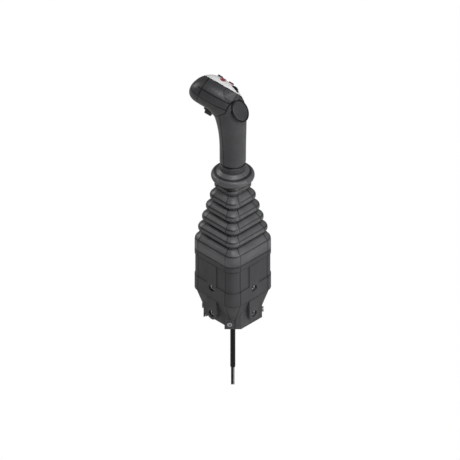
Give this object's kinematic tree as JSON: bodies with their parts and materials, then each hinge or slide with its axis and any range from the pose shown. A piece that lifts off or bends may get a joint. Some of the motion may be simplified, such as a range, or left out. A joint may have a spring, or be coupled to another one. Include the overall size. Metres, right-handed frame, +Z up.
{
  "type": "industrial joystick",
  "caption": "Heavy industrial joystick with a square housing, folded rubber gaiter, two axis gimbal, angled palm grip with buttons, roller and trigger, and a hanging cable.",
  "frame": {"origin": "centre of the housing at the plane of its bottom rim", "axes": "+Z up along the shaft at rest, +X towards the operator's palm side of the grip before its 15.7 degree turn, -Y the side whose lower rim is lifted for the cable"},
  "size_m": [0.1107, 0.09, 0.5432],
  "materials": {
    "housing_plastic": "fine textured charcoal moulding",
    "insert_metal": "nickel plated brass",
    "cover_plastic": "plain dark moulding",
    "screw_steel": "zinc plated",
    "gland_rubber": "black moulded strain relief",
    "sheath_black": "smooth black cable sheath",
    "core_black": "black core insulation",
    "core_grey": "grey core insulation",
    "plug_plastic": "natural connector plastic",
    "steel_plate": "machined steel",
    "aluminium_part": "machined aluminium",
    "bush_plastic": "self lubricating bush",
    "spring_steel": "music wire",
    "magnet_metal": "plated magnet",
    "board_green": "solder mask",
    "gaiter_rubber": "soft matt rubber",
    "neck_plastic": "satin moulding",
    "grip_plastic": "fine textured charcoal moulding",
    "cap_plastic": "fine textured charcoal moulding",
    "panel_pale": "satin pale panel",
    "button_black": "gloss black cap",
    "button_red": "gloss red cap",
    "button_dark_red": "gloss dark red cap",
    "switch_plastic": "switch body",
    "ring_plastic": "black trim"
  },
  "bodies": {
    "base": {"board_plug": "plug_plastic", "board_screws": "screw_steel", "board_standoffs": "screw_steel", "bottom_cover": "cover_plastic", "cable_core_black": "core_black", "cable_core_grey": "core_grey", "cable_gland": "gland_rubber", "cable_sheath": "sheath_black", "carrier_screws": "screw_steel", "gaiter_skirt": "gaiter_rubber", "gimbal_carrier": "aluminium_part", "housing_shell": "housing_plastic", "inner_cable": "sheath_black", "limit_gate": "steel_plate", "lug_screws": "screw_steel", "outer_bushes": "bush_plastic", "outer_springs": "spring_steel", "retaining_frame": "steel_plate", "sensor_board": "board_green", "threaded_inserts": "insert_metal"},
    "gimbal": {"gimbal_ring": "aluminium_part", "outer_pins": "steel_plate", "inner_bushes": "bush_plastic", "inner_springs": "spring_steel"},
    "stick": {"cross_pin": "steel_plate", "shaft_hub": "aluminium_part", "main_shaft": "steel_plate", "magnet_cup": "plug_plastic", "sensor_magnet": "magnet_metal", "neck_ring": "neck_plastic", "grip_rear_shell": "grip_plastic", "grip_front_shell": "grip_plastic", "head_hood": "grip_plastic", "head_end_cap": "cap_plastic", "face_panel": "panel_pale", "elbow_cap": "grip_plastic", "elbow_ring": "ring_plastic", "trigger_bezel": "ring_plastic", "trigger_switch": "switch_plastic", "control_board": "board_green", "control_board_screws": "screw_steel", "button_switches": "switch_plastic", "roller_cradle": "aluminium_part", "grip_socket": "aluminium_part", "grip_screws": "screw_steel"},
    "fold_web_1": {"gaiter_web_1": "gaiter_rubber"},
    "fold_crown_1": {"gaiter_crown_1": "gaiter_rubber"},
    "fold_web_2": {"gaiter_web_2": "gaiter_rubber"},
    "fold_crown_2": {"gaiter_crown_2": "gaiter_rubber"},
    "fold_web_3": {"gaiter_web_3": "gaiter_rubber"},
    "fold_crown_3": {"gaiter_crown_3": "gaiter_rubber"},
    "fold_web_4": {"gaiter_web_4": "gaiter_rubber"},
    "fold_crown_4": {"gaiter_crown_4": "gaiter_rubber"},
    "fold_top_web": {"gaiter_top_web": "gaiter_rubber"},
    "fold_collar": {"gaiter_collar": "gaiter_rubber"},
    "button_front_cap": {"button_front": "button_black"},
    "button_middle_cap": {"button_middle": "button_red"},
    "button_rear_cap": {"button_rear": "button_dark_red"},
    "trigger_cap": {"trigger_button": "button_black"},
    "roller": {"thumb_roller": "button_black"}
  },
  "joints": [
    {"name": "tilt_x", "type": "hinge", "parent": "base", "child": "gimbal", "pos_m": [0, 0, 0.1], "axis": [1, 0, 0], "range_deg": [-18, 18], "stiffness_Nm_per_rad": 6, "deforming": ["outer_springs"]},
    {"name": "tilt_y", "type": "hinge", "parent": "gimbal", "child": "stick", "pos_m": [0, 0, 0.1], "axis": [0, 1, 0], "range_deg": [-18, 18], "stiffness_Nm_per_rad": 6, "deforming": ["inner_springs"]},
    {"name": "fold_web_1_turn", "type": "hinge", "parent": "base", "child": "fold_web_1", "pos_m": [0, 0, 0.1], "axis": [1, 0, 0], "range_deg": [-3.6, 3.6], "deforming": ["gaiter_web_1", "gaiter_skirt"]},
    {"name": "fold_crown_1_turn", "type": "hinge", "parent": "fold_web_1", "child": "fold_crown_1", "pos_m": [0, 0, 0.1], "axis": [0, 1, 0], "range_deg": [-3.6, 3.6], "deforming": ["gaiter_crown_1"]},
    {"name": "fold_web_2_turn", "type": "hinge", "parent": "fold_crown_1", "child": "fold_web_2", "pos_m": [0, 0, 0.1], "axis": [1, 0, 0], "range_deg": [-3.6, 3.6], "deforming": ["gaiter_web_2"]},
    {"name": "fold_crown_2_turn", "type": "hinge", "parent": "fold_web_2", "child": "fold_crown_2", "pos_m": [0, 0, 0.1], "axis": [0, 1, 0], "range_deg": [-3.6, 3.6], "deforming": ["gaiter_crown_2"]},
    {"name": "fold_web_3_turn", "type": "hinge", "parent": "fold_crown_2", "child": "fold_web_3", "pos_m": [0, 0, 0.1], "axis": [1, 0, 0], "range_deg": [-3.6, 3.6], "deforming": ["gaiter_web_3"]},
    {"name": "fold_crown_3_turn", "type": "hinge", "parent": "fold_web_3", "child": "fold_crown_3", "pos_m": [0, 0, 0.1], "axis": [0, 1, 0], "range_deg": [-3.6, 3.6], "deforming": ["gaiter_crown_3"]},
    {"name": "fold_web_4_turn", "type": "hinge", "parent": "fold_crown_3", "child": "fold_web_4", "pos_m": [0, 0, 0.1], "axis": [1, 0, 0], "range_deg": [-3.6, 3.6], "deforming": ["gaiter_web_4"]},
    {"name": "fold_crown_4_turn", "type": "hinge", "parent": "fold_web_4", "child": "fold_crown_4", "pos_m": [0, 0, 0.1], "axis": [0, 1, 0], "range_deg": [-3.6, 3.6], "deforming": ["gaiter_crown_4"]},
    {"name": "fold_top_web_turn", "type": "hinge", "parent": "fold_crown_4", "child": "fold_top_web", "pos_m": [0, 0, 0.1], "axis": [1, 0, 0], "range_deg": [-3.6, 3.6], "deforming": ["gaiter_top_web"]},
    {"name": "fold_collar_turn", "type": "hinge", "parent": "fold_top_web", "child": "fold_collar", "pos_m": [0, 0, 0.1], "axis": [0, 1, 0], "range_deg": [-3.6, 3.6], "deforming": ["gaiter_collar"]},
    {"name": "button_front_press", "type": "slide", "parent": "stick", "child": "button_front_cap", "axis": [0.0011, -0.7081, -0.7061], "range_m": [0, 0.0015], "stiffness_N_per_m": 2000, "springref_m": -0.0004},
    {"name": "button_middle_press", "type": "slide", "parent": "stick", "child": "button_middle_cap", "axis": [0.0011, -0.7081, -0.7061], "range_m": [0, 0.0015], "stiffness_N_per_m": 2000, "springref_m": -0.0004},
    {"name": "button_rear_press", "type": "slide", "parent": "stick", "child": "button_rear_cap", "axis": [0.0011, -0.7081, -0.7061], "range_m": [0, 0.0015], "stiffness_N_per_m": 2000, "springref_m": -0.0004},
    {"name": "trigger_press", "type": "slide", "parent": "stick", "child": "trigger_cap", "axis": [0.2508, 0.0705, 0.9655], "range_m": [0, 0.0025], "stiffness_N_per_m": 2500, "springref_m": -0.0004},
    {"name": "roller_turn", "type": "hinge", "parent": "stick", "child": "roller", "pos_m": [-0.00709, 0.00746, 0.39496], "axis": [0.3689, -0.656, 0.6585], "range_deg": [-30, 30], "stiffness_Nm_per_rad": 0.03}
  ],
  "couplings": [
    {"joint": "fold_web_1_turn", "follows": "tilt_x", "ratio": 0.2},
    {"joint": "fold_crown_1_turn", "follows": "tilt_y", "ratio": 0.2},
    {"joint": "fold_web_2_turn", "follows": "tilt_x", "ratio": 0.2},
    {"joint": "fold_crown_2_turn", "follows": "tilt_y", "ratio": 0.2},
    {"joint": "fold_web_3_turn", "follows": "tilt_x", "ratio": 0.2},
    {"joint": "fold_crown_3_turn", "follows": "tilt_y", "ratio": 0.2},
    {"joint": "fold_web_4_turn", "follows": "tilt_x", "ratio": 0.2},
    {"joint": "fold_crown_4_turn", "follows": "tilt_y", "ratio": 0.2},
    {"joint": "fold_top_web_turn", "follows": "tilt_x", "ratio": 0.2},
    {"joint": "fold_collar_turn", "follows": "tilt_y", "ratio": 0.2}
  ]
}
